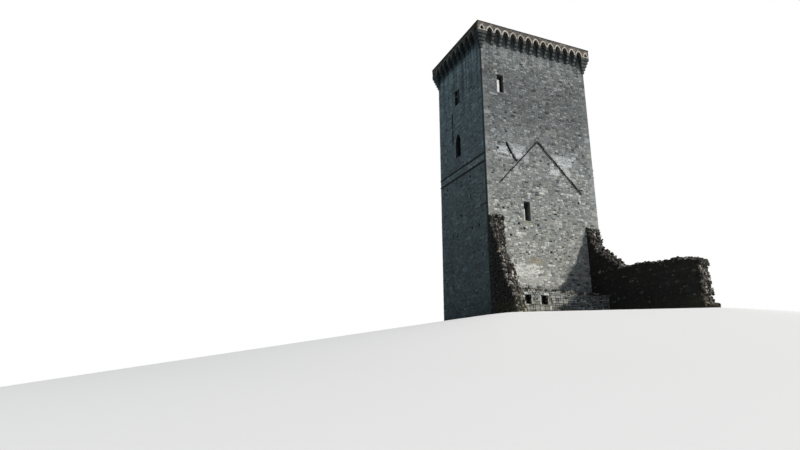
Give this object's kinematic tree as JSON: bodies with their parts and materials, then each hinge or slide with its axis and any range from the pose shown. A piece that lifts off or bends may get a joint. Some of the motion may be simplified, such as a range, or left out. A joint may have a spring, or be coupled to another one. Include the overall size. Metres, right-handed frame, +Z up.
{
  "type": "castle keep",
  "caption": "Tall rectangular stone tower with an overhanging arcaded parapet on corbels, and the torn walls of a lost hall at its foot.",
  "frame": {"origin": "centre of the tower's plan on the ground, on the underside of the ground floor", "axes": "+Z up, -Y towards the face that carried the hall, +X to that face's right as seen from in front of it"},
  "size_m": [14.8, 22.6, 30.72],
  "materials": {
    "rubble_masonry": "coursed rubble stone in lime mortar",
    "torn_masonry": "broken rubble stone",
    "dressed_stone": "weathered dressed stone",
    "pale_stone": "pale dressed stone",
    "parapet_masonry": "brown weathered stone",
    "weathered_coping": "dark weathered stone",
    "stone_paving": "worn stone slabs",
    "oak_beam": "hewn oak",
    "oak_board": "sawn oak"
  },
  "bodies": {
    "root": {"arch_mouldings": "pale_stone", "back_arcade": "parapet_masonry", "back_corbels": "dressed_stone", "back_wall_basement": "rubble_masonry", "back_wall_chamber": "rubble_masonry", "back_wall_doorway": "rubble_masonry", "back_wall_hall": "rubble_masonry", "back_wall_top": "rubble_masonry", "cellar_front_wall": "torn_masonry", "chamber_floor_beams": "oak_beam", "chamber_floor_boards": "oak_board", "corner_corbels": "dressed_stone", "front_arcade": "parapet_masonry", "front_corbels": "dressed_stone", "front_wall_basement": "rubble_masonry", "front_wall_chamber": "rubble_masonry", "front_wall_hall": "rubble_masonry", "front_wall_top": "rubble_masonry", "ground_floor": "stone_paving", "hall_floor_beams": "oak_beam", "hall_floor_boards": "oak_board", "left_arcade": "parapet_masonry", "left_corbels": "dressed_stone", "left_torn_wall": "torn_masonry", "left_wall_basement": "rubble_masonry", "left_wall_chamber": "rubble_masonry", "left_wall_hall": "rubble_masonry", "left_wall_top": "rubble_masonry", "parapet": "parapet_masonry", "parapet_coping": "weathered_coping", "right_arcade": "parapet_masonry", "right_corbels": "dressed_stone", "right_wall_basement": "rubble_masonry", "right_wall_chamber": "rubble_masonry", "right_wall_hall": "rubble_masonry", "right_wall_top": "rubble_masonry", "roof_weathering": "dressed_stone", "string_courses": "dressed_stone", "terrace_beams": "oak_beam", "terrace_paving": "stone_paving", "top_floor_beams": "oak_beam", "top_floor_boards": "oak_board", "window_crosses": "pale_stone", "wing_wall": "torn_masonry", "wing_wall_root": "torn_masonry"}
  },
  "joints": []
}
